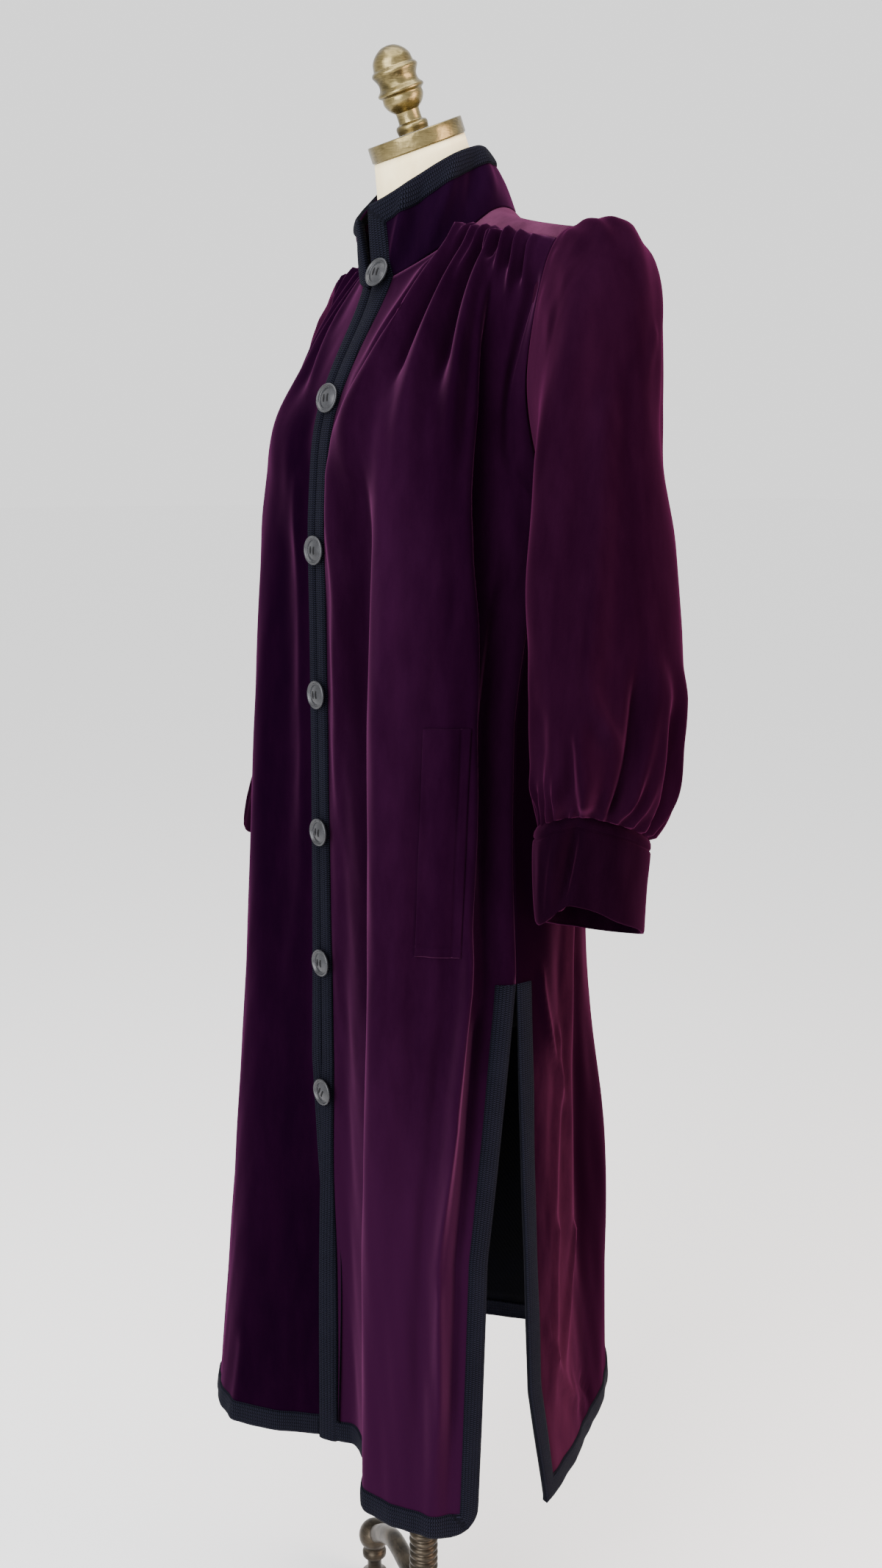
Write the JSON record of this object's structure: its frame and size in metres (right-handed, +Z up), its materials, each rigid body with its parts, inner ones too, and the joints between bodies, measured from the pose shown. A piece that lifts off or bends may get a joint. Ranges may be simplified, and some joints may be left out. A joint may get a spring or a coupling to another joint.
{
  "type": "velvet coat on a dress form",
  "caption": "Long velvet coat with a yoke, stand collar, gathered full sleeves, braided edges and side slits, worn by a linen dress form on a footed post.",
  "frame": {"origin": "floor, under the middle of the part's box", "axes": "+Z up; the coat faces -Y and the wearer's left is +X"},
  "size_m": [0.6222, 0.4376, 1.7817],
  "materials": {
    "velvet": "plum cotton velvet",
    "braid": "black knitted braid",
    "lining": "near-black twill lining",
    "horn": "grey horn",
    "linen": "cream linen over a form",
    "brass": "aged brass",
    "bronze": "dark bronzed metal"
  },
  "bodies": {
    "root": {"front_left": "velvet", "front_right": "velvet", "back": "velvet", "yoke": "velvet", "collar": "velvet", "sleeve_left": "velvet", "sleeve_right": "velvet", "cuff_left": "velvet", "cuff_right": "velvet", "welt_left": "velvet", "welt_right": "velvet", "lining_front_left": "lining", "lining_front_right": "lining", "lining_back": "lining", "braid_front_left": "braid", "braid_front_right": "braid", "braid_hem_left": "braid", "braid_hem_right": "braid", "braid_back": "braid", "braid_collar": "braid", "button_1": "horn", "button_2": "horn", "button_3": "horn", "button_4": "horn", "button_5": "horn", "button_6": "horn", "button_7": "horn", "form_torso": "linen", "form_neck": "linen", "neck_cap": "brass", "finial": "brass", "post": "bronze", "hub": "bronze", "leg_1": "bronze", "leg_2": "bronze", "leg_3": "bronze", "foot_1": "bronze", "foot_2": "bronze", "foot_3": "bronze"}
  },
  "joints": []
}
